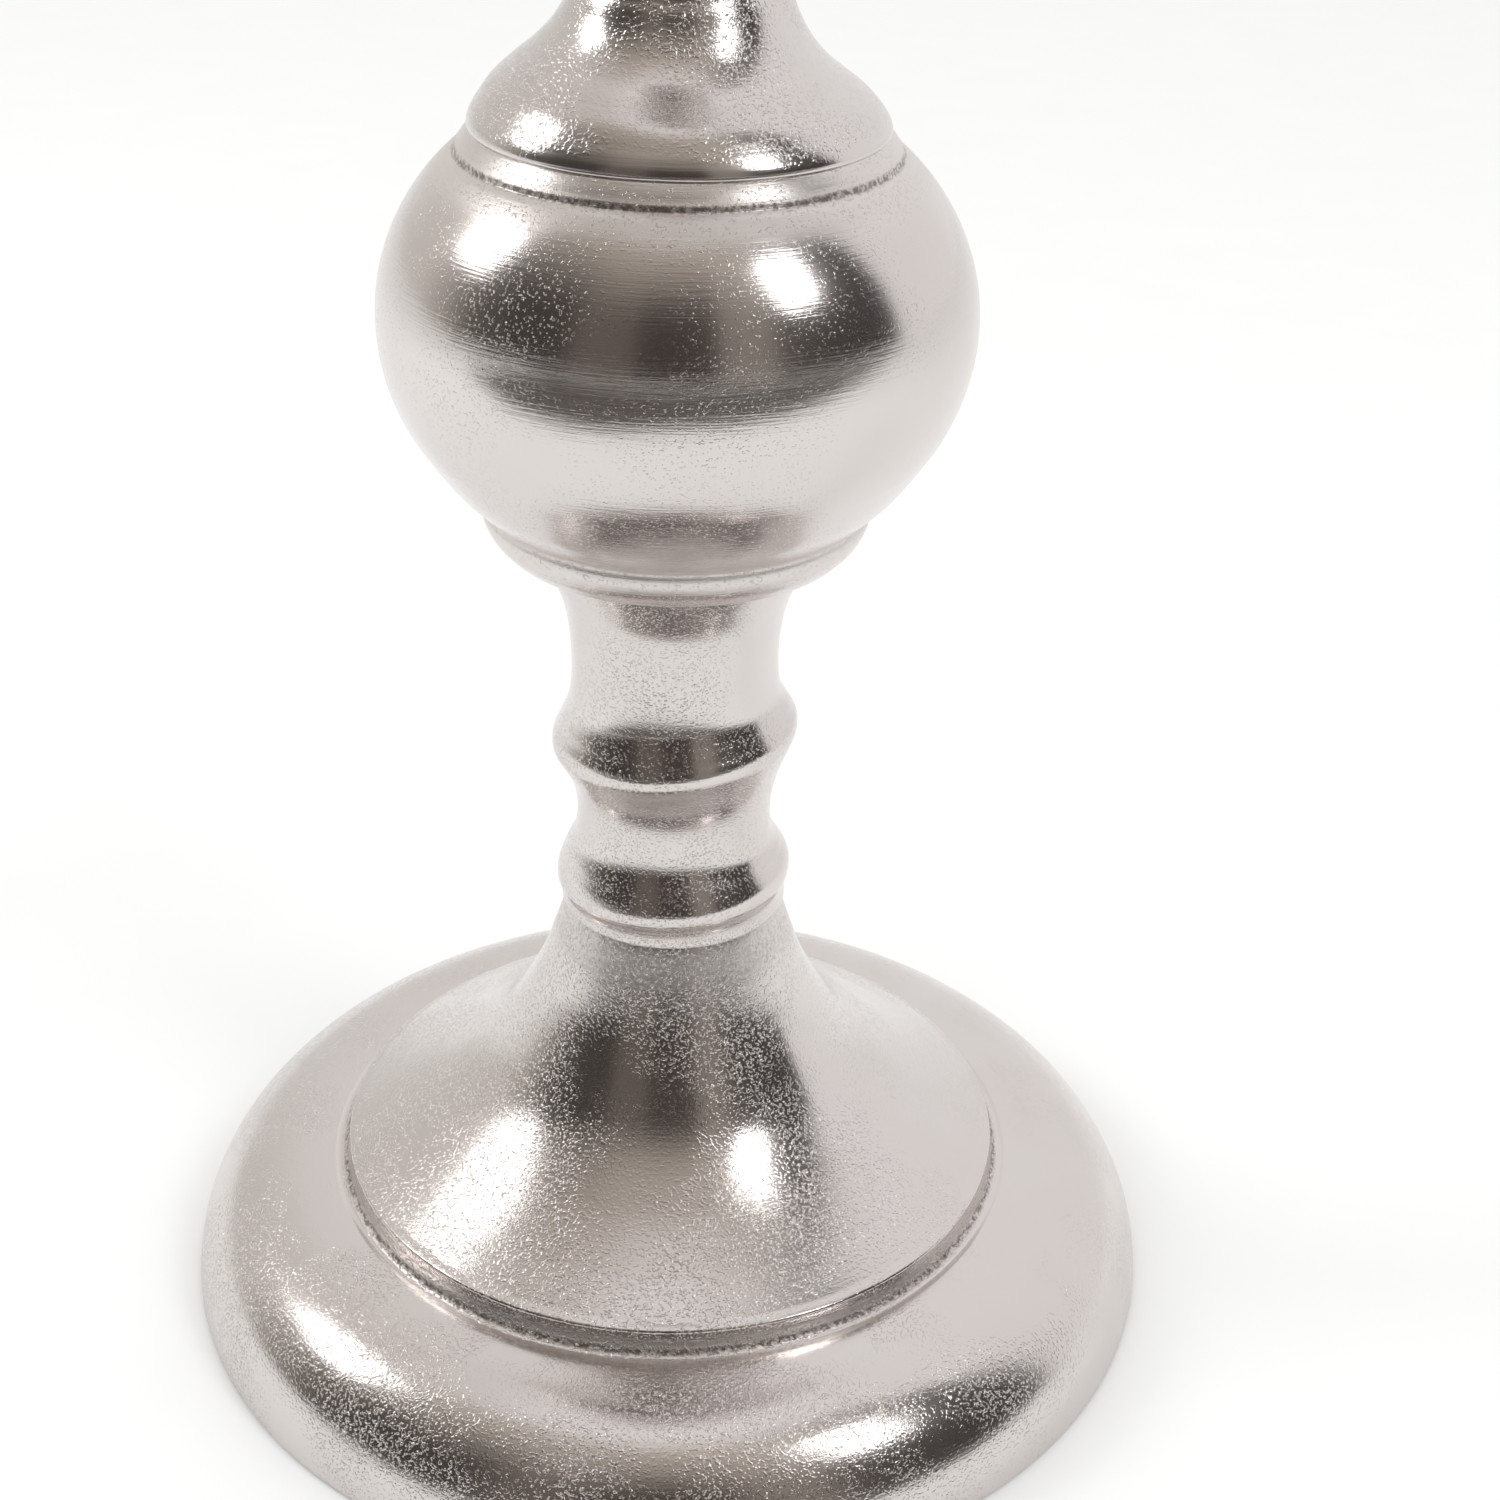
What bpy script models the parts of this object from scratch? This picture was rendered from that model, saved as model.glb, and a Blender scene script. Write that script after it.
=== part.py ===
"""Altar candlestick: hollow aluminium castings stacked on one tie rod, with a loose drip pan over a pricket.

Sizes are in millimetres, and MM turns them into metres. +Z is up, the axis of every turned piece is the
Z axis, and the felt stands on the plane z = 0. An outline is a list of (radius, height) points that runs
down the outer side, in under the piece, and up its inner side.
"""

import math

import bpy

MM = 0.001
OBJECT_NAME = "altar_candlestick"

# Heights at which one casting ends and the next begins
GAP = 0.3
RIM_FOOT_Z = 0.8
NECK_Z = 86.0
KNOP_Z = 161.5
STEM_Z = 238.0
UPPER_NECK_Z = 440.0
CAPITAL_Z = 492.0
PAN_Z = 540.0
PRICKET_TIP_Z = 618.0

# Foot
RIM_R = 100.0
RIM_ROUND_R = 25.0
RIM_WALL = 5.0
GROOVE_R = 69.1
LIP_R = 67.4
LIP_Z = 29.8
LEDGE_Z = 18.6
REBATE_R = 95.0

# Knop
KNOP_R = 53.0
KNOP_PROFILE_R = 38.0
KNOP_EQUATOR_Z = 205.7
KNOP_WALL = 5.0
FILLET_R = 38.2
FLANGE_R = 35.7
FLANGE_EDGE_R = 32.2

# Drip pan
PAN_FLOOR_R = 46.0
PAN_SIDE_R = 26.0
PAN_DEPTH = 15.0
PAN_RIM_R = 1.9
PAN_WALL = 2.6
PAN_SLEEVE_R = 13.5
PAN_HOLE_R = 9.2

# Spigots, sockets and rod holes
SPIGOT_R = 12.0
SPIGOT_LENGTH = 5.1
SLIM_SPIGOT_R = 9.7
SLIM_SPIGOT_LENGTH = 6.0
WIDE_SPIGOT_R = 20.0
ROD_R = 4.9
ROD_HOLE_R = 5.5

# Tie rod and its hardware
ROD_BOTTOM_Z = 2.4
ROD_TOP_Z = 536.0
NUT_ACROSS_FLATS = 17.0
NUT_HEIGHT = 5.0
WASHER_R = 10.0
WASHER_HEIGHT = 1.8
LOCK_WASHER_R = 8.6
LOCK_WASHER_HEIGHT = 2.2
LOCK_WASHER_SLIT = 1.2
RECESS_R = 14.0
CAPITAL_SEAT_Z = 512.0

# Underside
FELT_R = 92.0
FELT_HEIGHT = 1.3
BOARD_Z = 1.6
BOARD_HEIGHT = 6.0
BALLAST_R = 70.0
BALLAST_Z = 8.0
BALLAST_HEIGHT = 10.3
COUNTERBORE_DEPTH = 5.0
SCREW_CIRCLE_R = 45.0
SCREW_COUNT = 3
SCREW_R = 2.0
SCREW_HEAD_R = 4.2
SCREW_LENGTH = 13.0

STEPS_WIDE = 32
STEPS_SLIM = 20

# name: (base colour, metallic, roughness)
FINISHES = {
    "cast_aluminium": ((0.72, 0.68, 0.65), 1.0, 0.30),
    "nickelled_steel": ((0.66, 0.65, 0.63), 1.0, 0.25),
    "zinc_steel": ((0.55, 0.56, 0.57), 1.0, 0.40),
    "cast_iron": ((0.10, 0.10, 0.10), 0.8, 0.60),
    "fibreboard": ((0.30, 0.19, 0.10), 0.0, 0.75),
    "felt": ((0.03, 0.10, 0.05), 0.0, 0.95),
}


# Outlines


def arc(centre, radius, start_deg, end_deg, steps):
    """Points on a round stretch of an outline, both ends included."""
    turns = [start_deg + (end_deg - start_deg) * i / steps for i in range(steps + 1)]
    return [
        (
            centre[0] + radius * math.cos(math.radians(turn)),
            centre[1] + radius * math.sin(math.radians(turn)),
        )
        for turn in turns
    ]


def smooth(knots, steps=2):
    """Points on a Catmull-Rom curve through the knots, both ends included."""
    padded = [knots[0], *knots, knots[-1]]
    points = []
    for span in zip(padded, padded[1:], padded[2:], padded[3:]):
        for i in range(steps):
            t = i / steps
            points.append(tuple(blend(*values, t) for values in zip(*span)))
    return points + [knots[-1]]


def blend(before, start, end, after, t):
    """One coordinate of a Catmull-Rom span from start to end."""
    linear = end - before
    square = 2 * before - 5 * start + 4 * end - after
    cube = 3 * start - before - 3 * end + after
    return 0.5 * (2 * start + linear * t + square * t**2 + cube * t**3)


def base_outline():
    """The foot: cone, lip, groove and quarter-round rim outside, a cored hollow with the plate's ledge inside."""
    rim_centre = (RIM_R - RIM_ROUND_R, 0.0)
    foot_turn = math.degrees(math.asin(RIM_FOOT_Z / RIM_ROUND_R))
    cone = smooth(
        [
            (21.6, NECK_Z),
            (23.4, 78.0),
            (26.9, 69.0),
            (31.6, 60.0),
            (37.7, 51.0),
            (46.6, 43.0),
            (56.5, 36.2),
            (LIP_R - 1.4, LIP_Z + 0.9),
        ],
        steps=2,
    )
    lip = [(LIP_R - 0.4, LIP_Z + 0.4), (LIP_R, LIP_Z - 0.4), (LIP_R + 0.3, LIP_Z - 2.4)]
    groove = [(GROOVE_R - 0.8, 25.7), (GROOVE_R, 25.2)]
    rim = arc(rim_centre, RIM_ROUND_R, 90.0, foot_turn, 8)
    rebate_top = BOARD_Z + BOARD_HEIGHT + GAP
    inner_r = RIM_ROUND_R - RIM_WALL - 1.0
    inner_turn = math.degrees(math.asin(rebate_top / inner_r))
    underside = [(REBATE_R, RIM_FOOT_Z), (REBATE_R, rebate_top)]
    roof = arc(rim_centre, inner_r, inner_turn, math.degrees(math.asin(LEDGE_Z / inner_r)), 3)
    core = smooth([(60.0, 22.0), (50.0, 34.0), (36.0, 46.0), (26.0, 60.0), (18.0, 74.0)], steps=1)
    seat_z = NECK_Z - SPIGOT_LENGTH - 2 * GAP
    hub = [(ROD_HOLE_R, 74.0), (ROD_HOLE_R, seat_z)]
    socket = [(SPIGOT_R + GAP, seat_z), (SPIGOT_R + GAP, NECK_Z)]
    return cone + lip + groove + rim + underside + roof + [(60.0, LEDGE_Z)] + core + hub + socket


def casting_outline(outer, core, socket_r, spigot):
    """A stacked casting: its outer side, a spigot below with the rod's hole, its core, and its open top."""
    spigot_r, spigot_length = spigot
    top_z = outer[0][1]
    bottom_z = outer[-1][1]
    foot_z = bottom_z - spigot_length
    below = [(spigot_r, bottom_z), (spigot_r, foot_z), (ROD_HOLE_R, foot_z), (ROD_HOLE_R, core[0][1])]
    socket = [(socket_r, core[-1][1]), (socket_r, top_z)]
    return outer + below + core + socket


def neck_outline():
    """The lower neck: two soft beads between hollowed stretches."""
    outer = smooth(
        [
            (25.6, KNOP_Z),
            (23.3, 156.8),
            (20.8, 150.0),
            (19.7, 140.5),
            (20.2, 132.0),
            (22.2, 126.6),
            (23.5, 123.3),
            (22.4, 119.4),
            (20.0, 113.5),
            (18.9, 107.5),
            (19.4, 101.6),
            (21.4, 97.2),
            (23.0, 93.2),
            (22.7, 89.8),
            (21.7, NECK_Z + GAP),
        ]
    )
    core = [(9.0, 91.0), (14.0, 97.0), (14.0, 151.0), (SPIGOT_R + GAP, 155.0)]
    return casting_outline(outer, core, SPIGOT_R + GAP, (SPIGOT_R, SPIGOT_LENGTH))


def knop_outline():
    """The ball: a sloping fillet above, a flattened ball, and a rounded flange that overhangs the neck."""
    centre = (KNOP_R - KNOP_PROFILE_R, KNOP_EQUATOR_Z)
    fillet = [(34.6, STEM_Z), (36.6, STEM_Z - 0.6), (FILLET_R, STEM_Z - 1.9), (FILLET_R + 0.2, STEM_Z - 2.8)]
    ball = arc(centre, KNOP_PROFILE_R, 49.0, -32.0, 10)
    taper = [(43.9, 180.9), (39.7, 175.9), (36.4, 172.1), (35.3, 171.3)]
    flange = smooth([(FLANGE_R, 170.6), (35.5, 168.6), (34.3, 166.2), (FLANGE_EDGE_R, 164.0)])
    underside = [(31.6, 163.5), (26.2, KNOP_Z + GAP)]
    core_r = KNOP_PROFILE_R - KNOP_WALL
    core = [(12.0, 167.0)] + arc(centre, core_r, -58.0, 50.0, 6)
    outer = fillet + ball + taper + flange + underside
    return casting_outline(outer, core, WIDE_SPIGOT_R + GAP, (SPIGOT_R, SPIGOT_LENGTH))


def stem_outline():
    """The stem: an ogee collar at its foot, then a slim shaft that thickens a little towards its top."""
    collar = smooth(
        [(18.8, 261.0), (22.2, 255.0), (27.4, 250.0), (32.3, 246.0), (35.2, 242.6), (36.2, 240.2)]
    )
    shaft = smooth([(16.6, UPPER_NECK_Z), (15.2, 420.0), (14.3, 350.0), (15.0, 295.0), (16.7, 271.0)])
    foot = [(35.9, STEM_Z + GAP + 0.6), (35.2, STEM_Z + GAP)]
    core = [(10.0, 243.0), (26.0, 243.0), (20.0, 251.0), (12.5, 262.0), (10.0, 275.0), (10.0, 430.0)]
    return casting_outline(shaft + collar + foot, core, 10.0, (WIDE_SPIGOT_R, SPIGOT_LENGTH))


def upper_neck_outline():
    """The upper neck: two smaller beads that repeat the lower neck's."""
    outer = smooth(
        [
            (16.4, CAPITAL_Z),
            (15.4, 486.0),
            (15.6, 480.5),
            (18.4, 475.6),
            (17.8, 471.2),
            (15.3, 465.5),
            (15.4, 460.0),
            (18.4, 454.6),
            (17.9, 450.2),
            (16.4, 445.0),
            (16.8, UPPER_NECK_Z + GAP),
        ]
    )
    core = [(8.0, 446.0), (11.0, 451.0), (11.0, 482.0), (10.0, 485.0)]
    return casting_outline(outer, core, 10.0, (SLIM_SPIGOT_R, SLIM_SPIGOT_LENGTH))


def capital_outline():
    """The capital: a flared cup, bored out from above for the nut and the pan's sleeve."""
    outer = [(38.0, PAN_Z), (39.6, PAN_Z - 0.8), (40.0, PAN_Z - 2.4)] + smooth(
        [
            (39.0, 533.6),
            (35.4, 528.0),
            (28.8, 522.0),
            (22.0, 515.0),
            (17.8, 506.0),
            (17.4, 499.0),
            (16.6, CAPITAL_Z + GAP),
        ]
    )
    core = [(RECESS_R, CAPITAL_SEAT_Z), (RECESS_R, PAN_Z - 3.0)]
    return casting_outline(outer, core, RECESS_R, (SLIM_SPIGOT_R, SLIM_SPIGOT_LENGTH))


def pan_outline():
    """The drip pan: a flat floor round a sleeve, and a side that curves up to a thick rounded rim."""
    floor_z = PAN_Z + GAP + PAN_WALL
    side_centre = (PAN_FLOOR_R, floor_z + PAN_SIDE_R)
    rise = math.degrees(math.acos((PAN_SIDE_R - PAN_DEPTH + PAN_WALL) / PAN_SIDE_R))
    under = arc(side_centre, PAN_SIDE_R + PAN_WALL, rise - 90.0, -90.0, 5)
    rim_centre = (under[0][0] - 0.6, under[0][1] + 1.2)
    rim = arc(rim_centre, PAN_RIM_R, 160.0, -40.0, 4)
    inside = arc(side_centre, PAN_SIDE_R, -90.0, rise - 90.0, 5)
    sleeve = [
        (PAN_SLEEVE_R, PAN_Z + GAP),
        (PAN_SLEEVE_R, PAN_Z - 6.0),
        (PAN_HOLE_R, PAN_Z - 6.0),
        (PAN_HOLE_R, floor_z),
    ]
    return rim + under[1:] + sleeve + inside[:-1]


def pricket_outline():
    """The spike: a sharp cone on a round boss, with a blind hole that takes the tie rod's end."""
    foot_z = CAPITAL_SEAT_Z + GAP + WASHER_HEIGHT + GAP + NUT_HEIGHT + GAP
    hole_r = ROD_R + GAP
    return [
        (0.0, PRICKET_TIP_Z),
        (0.5, PRICKET_TIP_Z - 1.2),
        (3.4, 572.0),
        (4.4, 552.0),
        (6.4, 548.5),
        (8.0, 547.0),
        (8.4, 545.6),
        (8.4, foot_z),
        (hole_r, foot_z),
        (hole_r, ROD_TOP_Z + GAP),
        (0.0, ROD_TOP_Z + GAP),
    ]


def screw_outline():
    """A countersunk screw that points up, with its head's flat face at height 0."""
    head_height = SCREW_HEAD_R - SCREW_R
    return [
        (0.0, SCREW_LENGTH),
        (0.4, SCREW_LENGTH - 0.2),
        (SCREW_R, SCREW_LENGTH - 2.4),
        (SCREW_R, head_height),
        (SCREW_HEAD_R, 0.2),
        (SCREW_HEAD_R, 0.0),
        (0.0, 0.0),
    ]


def ring_outline(inner_r, outer_r, bottom_z, height):
    """A plain ring or washer."""
    return [
        (outer_r, bottom_z + height),
        (outer_r, bottom_z),
        (inner_r, bottom_z),
        (inner_r, bottom_z + height),
    ]


# Objects


def clear_scene():
    for obj in list(bpy.data.objects):
        bpy.data.objects.remove(obj)


def new_collection(name):
    collection = bpy.data.collections.new(name)
    bpy.context.scene.collection.children.link(collection)
    return collection


def finish_material(name):
    """A Principled BSDF material from FINISHES, made on its first use."""
    material = bpy.data.materials.get(name)
    if material:
        return material
    colour, metallic, roughness = FINISHES[name]
    material = bpy.data.materials.new(name)
    material.use_nodes = True
    shader = material.node_tree.nodes["Principled BSDF"]
    shader.inputs["Base Color"].default_value = (*colour, 1.0)
    shader.inputs["Metallic"].default_value = metallic
    shader.inputs["Roughness"].default_value = roughness
    material.diffuse_color = (*colour, 1.0)
    return material


def place(obj, finish, collection, parent):
    """Gives the object its finish, its collection and its parent."""
    for holder in list(obj.users_collection):
        holder.objects.unlink(obj)
    collection.objects.link(obj)
    obj.data.materials.append(finish_material(finish))
    obj.parent = parent
    return obj


def turned(name, outline, finish, collection, parent, steps=STEPS_SLIM, place_at=(0.0, 0.0, 0.0)):
    """A solid of revolution: the outline, closed unless it starts and ends on the axis, swept by a Screw."""
    points = [(radius * MM, 0.0, height * MM) for radius, height in outline]
    edges = [(i, i + 1) for i in range(len(points) - 1)]
    on_axis = outline[0][0] == 0.0 and outline[-1][0] == 0.0
    if not on_axis:
        edges.append((len(points) - 1, 0))
    mesh = bpy.data.meshes.new(name)
    mesh.from_pydata(points, edges, [])
    obj = bpy.data.objects.new(name, mesh)
    screw = obj.modifiers.new("turn", "SCREW")
    screw.axis = "Z"
    screw.angle = math.tau
    screw.steps = steps
    screw.render_steps = steps
    screw.use_merge_vertices = True
    screw.merge_threshold = 0.5e-5
    screw.use_smooth_shade = True
    obj.location = place_at
    return place(obj, finish, collection, parent)


def cylinder(name, radius, bottom_z, height, finish, collection, parent, sides=STEPS_SLIM):
    """A solid cylinder on the Z axis."""
    bpy.ops.mesh.primitive_cylinder_add(
        vertices=sides,
        radius=radius * MM,
        depth=height * MM,
        location=(0.0, 0.0, (bottom_z + height / 2) * MM),
    )
    obj = bpy.context.object
    obj.name = name
    obj.data.name = name
    return place(obj, finish, collection, parent)


def cut(obj, cutter):
    """Takes the cutter out of the object and hides it."""
    boolean = obj.modifiers.new("cut_" + cutter.name, "BOOLEAN")
    boolean.operation = "DIFFERENCE"
    boolean.solver = "EXACT"
    boolean.object = cutter
    cutter.hide_render = True
    cutter.display_type = "WIRE"


# Sub-assemblies


def build_castings(parts, parent):
    """The stack of castings, from the foot to the capital."""
    metal = "cast_aluminium"
    turned("base_casting", base_outline(), metal, parts, parent, STEPS_WIDE)
    turned("neck_casting", neck_outline(), metal, parts, parent)
    turned("knop_casting", knop_outline(), metal, parts, parent, STEPS_WIDE)
    turned("stem_casting", stem_outline(), metal, parts, parent)
    turned("upper_neck_casting", upper_neck_outline(), metal, parts, parent)
    turned("capital_casting", capital_outline(), metal, parts, parent)


def hexagon_nut(name, bottom_z, parts, cutters, parent):
    """A hexagon nut round the tie rod."""
    corner_r = NUT_ACROSS_FLATS / 2 / math.cos(math.pi / 6)
    nut = cylinder(name, corner_r, bottom_z, NUT_HEIGHT, "zinc_steel", parts, parent, sides=6)
    bore = cylinder(name + "_bore", ROD_R + GAP, bottom_z - 1.0, NUT_HEIGHT + 2.0, "zinc_steel", cutters, parent)
    cut(nut, bore)


def lock_washer(bottom_z, parts, cutters, parent):
    """The split spring washer that keeps the bottom nut tight."""
    outline = ring_outline(ROD_R + GAP, LOCK_WASHER_R, bottom_z, LOCK_WASHER_HEIGHT)
    washer = turned("rod_lock_washer", outline, "zinc_steel", parts, parent)
    bpy.ops.mesh.primitive_cube_add(
        size=1.0,
        location=(LOCK_WASHER_R / 2 * MM, 0.0, (bottom_z + LOCK_WASHER_HEIGHT / 2) * MM),
        rotation=(math.radians(30.0), 0.0, 0.0),
        scale=((LOCK_WASHER_R + 1.0) * MM, LOCK_WASHER_SLIT * MM, LOCK_WASHER_HEIGHT * 2 * MM),
    )
    slit = bpy.context.object
    slit.name = "rod_lock_washer_slit"
    place(slit, "zinc_steel", cutters, parent)
    cut(washer, slit)


def build_rod(parts, cutters, parent):
    """The tie rod, its nuts and washers, and the spike on its upper end."""
    cylinder("tie_rod", ROD_R, ROD_BOTTOM_Z, ROD_TOP_Z - ROD_BOTTOM_Z, "zinc_steel", parts, parent, sides=16)
    hole_r = ROD_R + GAP
    top_washer_z = CAPITAL_SEAT_Z + GAP
    low_washer_z = BALLAST_Z + COUNTERBORE_DEPTH - GAP - WASHER_HEIGHT
    washers = {"rod_washer_top": top_washer_z, "rod_washer_bottom": low_washer_z}
    for name, bottom_z in washers.items():
        turned(name, ring_outline(hole_r, WASHER_R, bottom_z, WASHER_HEIGHT), "zinc_steel", parts, parent)
    lock_washer_z = low_washer_z - GAP - LOCK_WASHER_HEIGHT
    lock_washer(lock_washer_z, parts, cutters, parent)
    hexagon_nut("rod_nut_top", top_washer_z + WASHER_HEIGHT + GAP, parts, cutters, parent)
    hexagon_nut("rod_nut_bottom", lock_washer_z - GAP - NUT_HEIGHT, parts, cutters, parent)
    turned("pricket_spike", pricket_outline(), "nickelled_steel", parts, parent, steps=16)


def build_underside(parts, cutters, parent):
    """The ballast plate, the board screwed to it, and the felt that the candlestick stands on."""
    counterbore_z = BALLAST_Z + COUNTERBORE_DEPTH
    ballast_top = BALLAST_Z + BALLAST_HEIGHT
    plate = [
        (BALLAST_R, ballast_top),
        (BALLAST_R, BALLAST_Z),
        (RECESS_R, BALLAST_Z),
        (RECESS_R, counterbore_z),
        (ROD_HOLE_R, counterbore_z),
        (ROD_HOLE_R, ballast_top),
    ]
    ballast = turned("ballast_plate", plate, "cast_iron", parts, parent, STEPS_WIDE)
    board_ring = ring_outline(RECESS_R, REBATE_R - 0.6, BOARD_Z, BOARD_HEIGHT)
    board = turned("base_board", board_ring, "fibreboard", parts, parent, STEPS_WIDE)
    cylinder("felt_pad", FELT_R, 0.0, FELT_HEIGHT, "felt", parts, parent, sides=STEPS_WIDE)
    head_z = BOARD_Z + GAP
    for number in range(SCREW_COUNT):
        turn = math.tau * (number + 0.25) / SCREW_COUNT
        spot = (SCREW_CIRCLE_R * math.cos(turn) * MM, SCREW_CIRCLE_R * math.sin(turn) * MM, head_z * MM)
        name = f"board_screw_{number + 1}"
        turned(name, screw_outline(), "zinc_steel", parts, parent, steps=12, place_at=spot)
        hole = turned(name + "_hole", screw_hole_outline(), "zinc_steel", cutters, parent, 12, spot)
        cut(board, hole)
        cut(ballast, hole)


def screw_hole_outline():
    """The cutter for a screw's hole: the screw with clearance all round, run out below the board."""
    return [
        (0.0, SCREW_LENGTH + 1.0),
        (SCREW_R + GAP, SCREW_LENGTH - 0.5),
        (SCREW_R + GAP, SCREW_HEAD_R - SCREW_R + GAP),
        (SCREW_HEAD_R + GAP, 0.3),
        (SCREW_HEAD_R + GAP, -1.0),
        (0.0, -1.0),
    ]


def build_pan(parts, parent):
    """The loose drip pan, on its own empty: it lifts off along +Z."""
    lift = bpy.data.objects.new("pan_lift", None)
    lift.parent = parent
    parts.objects.link(lift)
    turned("drip_pan", pan_outline(), "cast_aluminium", parts, lift, STEPS_WIDE)


def main():
    clear_scene()
    parts = new_collection(OBJECT_NAME)
    cutters = new_collection("cutters")
    stand = bpy.data.objects.new(OBJECT_NAME + "_stand", None)
    parts.objects.link(stand)
    build_castings(parts, stand)
    build_rod(parts, cutters, stand)
    build_underside(parts, cutters, stand)
    build_pan(parts, stand)


main()
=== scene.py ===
"""Looks of the altar candlestick: turned castings, their buffed sand-cast finish, and the studio.

Outlines are lists of (radius, height) points in millimetres, and MM turns them into metres. Each
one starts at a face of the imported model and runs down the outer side, in under the piece, and up
its inner side.
"""

import logging
import math
from dataclasses import dataclass
from enum import Enum
from typing import Callable, Iterable, Mapping, Sequence

import bpy
from mathutils import Matrix, Vector, noise

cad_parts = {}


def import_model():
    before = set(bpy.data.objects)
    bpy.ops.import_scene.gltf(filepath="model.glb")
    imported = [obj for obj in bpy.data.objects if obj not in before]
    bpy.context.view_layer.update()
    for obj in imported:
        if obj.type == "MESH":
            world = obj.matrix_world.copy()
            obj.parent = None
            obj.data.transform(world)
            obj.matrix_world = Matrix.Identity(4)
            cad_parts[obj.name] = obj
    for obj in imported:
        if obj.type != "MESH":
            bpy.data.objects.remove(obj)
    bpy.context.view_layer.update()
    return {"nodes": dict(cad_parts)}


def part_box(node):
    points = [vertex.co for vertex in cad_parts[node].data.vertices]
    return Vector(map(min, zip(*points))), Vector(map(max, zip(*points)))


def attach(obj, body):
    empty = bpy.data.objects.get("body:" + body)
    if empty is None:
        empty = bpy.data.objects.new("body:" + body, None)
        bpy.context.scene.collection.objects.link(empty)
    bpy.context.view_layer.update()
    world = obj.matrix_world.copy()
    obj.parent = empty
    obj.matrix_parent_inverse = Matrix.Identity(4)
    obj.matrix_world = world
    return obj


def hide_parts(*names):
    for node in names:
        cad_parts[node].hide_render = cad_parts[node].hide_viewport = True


MM = 0.001
SEGMENTS = 320
FELT_SEGMENTS = 192
SPIKE_SEGMENTS = 96
SKIN = "cast_skin"
# The point attribute that holds painted shade: how dark a crease is painted.
PAINTED_SHADE = "painted_shade"
log = logging.getLogger("candlestick")

Point = tuple[float, float]
Outline = list[Point]
Tree = bpy.types.NodeTree
Input = bpy.types.NodeSocket | float | tuple[float, ...]


class Edge(Enum):
    """How sharply a turned piece's outline may bend before its edge shows."""

    SOFT = 50.0
    CRISP = 30.0


# ---- outlines


def blend(before: float, start: float, end: float, after: float, t: float) -> float:
    """One coordinate of a Catmull-Rom span.

    Args:
        before: The knot before the span.
        start: The knot where the span starts.
        end: The knot where the span ends.
        after: The knot after the span.
        t: The place along the span, from 0 to 1.

    Returns:
        The coordinate at t.
    """
    linear = end - before
    square = 2 * before - 5 * start + 4 * end - after
    cube = 3 * start - before - 3 * end + after
    return 0.5 * (2 * start + linear * t + square * t**2 + cube * t**3)


def smooth(knots: Sequence[Point], steps: int = 8) -> Outline:
    """Points on a Catmull-Rom curve.

    Args:
        knots: The points that the curve passes through.
        steps: Points for each span.

    Returns:
        The curve's points, both ends included.
    """
    padded = [knots[0], *knots, knots[-1]]
    points = []
    for p, q, r, s in zip(padded, padded[1:], padded[2:], padded[3:]):
        for i in range(steps):
            t = i / steps
            points.append((blend(p[0], q[0], r[0], s[0], t), blend(p[1], q[1], r[1], s[1], t)))
    return points + [knots[-1]]


def arc(centre: Point, radius: float, start_deg: float, end_deg: float, steps: int) -> Outline:
    """Points on a round stretch of an outline.

    Args:
        centre: The arc's centre.
        radius: The arc's radius.
        start_deg: The turn at the first point.
        end_deg: The turn at the last point.
        steps: Spans between the points.

    Returns:
        The arc's points, both ends included.
    """
    sweep = end_deg - start_deg
    turns = [math.radians(start_deg + sweep * i / steps) for i in range(steps + 1)]
    return [(centre[0] + radius * math.cos(t), centre[1] + radius * math.sin(t)) for t in turns]


def low_of(node: str) -> float:
    """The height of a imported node's lowest point, in millimetres."""
    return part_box(node)[0].z / MM


def top_of(node: str) -> float:
    """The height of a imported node's highest point, in millimetres."""
    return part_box(node)[1].z / MM


def linked(name: str, data: bpy.types.ID) -> bpy.types.Object:
    """Makes an object of some data and links it to the scene."""
    made = bpy.data.objects.new(name, data)
    bpy.context.scene.collection.objects.link(made)
    return made


# ---- colours and nodes


def colour(hex_code: str) -> tuple[float, float, float, float]:
    """Turns an sRGB hex code to a linear colour.

    Args:
        hex_code: Six hex digits.

    Returns:
        Linear red, green and blue, and an alpha of 1.
    """
    shares = [int(hex_code[i : i + 2], 16) / 255 for i in (0, 2, 4)]
    linear = [c / 12.92 if c <= 0.04045 else ((c + 0.055) / 1.055) ** 2.4 for c in shares]
    return (*linear, 1.0)


def feed(node: bpy.types.Node, inputs: Mapping[int | str, Input]) -> bpy.types.Node:
    """Links or sets a node's inputs.

    Args:
        node: The node.
        inputs: For each input, by place or name, an output to link or a value to set.

    Returns:
        The node.
    """
    for key, given in inputs.items():
        if isinstance(given, bpy.types.NodeSocket):
            node.id_data.links.new(given, node.inputs[key])
        else:
            node.inputs[key].default_value = given
    return node


def add_node(
    tree: Tree, kind: str, inputs: Mapping[int | str, Input] | None = None, **settings: object
) -> bpy.types.Node:
    """Adds a node with its settings and inputs.

    Args:
        tree: The node tree that takes it.
        kind: The node's Blender type.
        inputs: For each input, by place or name, an output to link or a value to set.
        settings: The node's own properties.

    Returns:
        The new node.
    """
    node = tree.nodes.new(kind)
    for key, value in settings.items():
        setattr(node, key, value)
    return feed(node, inputs or {})


def calculated(tree: Tree, operation: str, *inputs: Input, clamp: bool = False) -> Input:
    """The result of a Math node over the inputs."""
    settings = {"operation": operation, "use_clamp": clamp}
    return add_node(tree, "ShaderNodeMath", dict(enumerate(inputs)), **settings).outputs[0]


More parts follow.
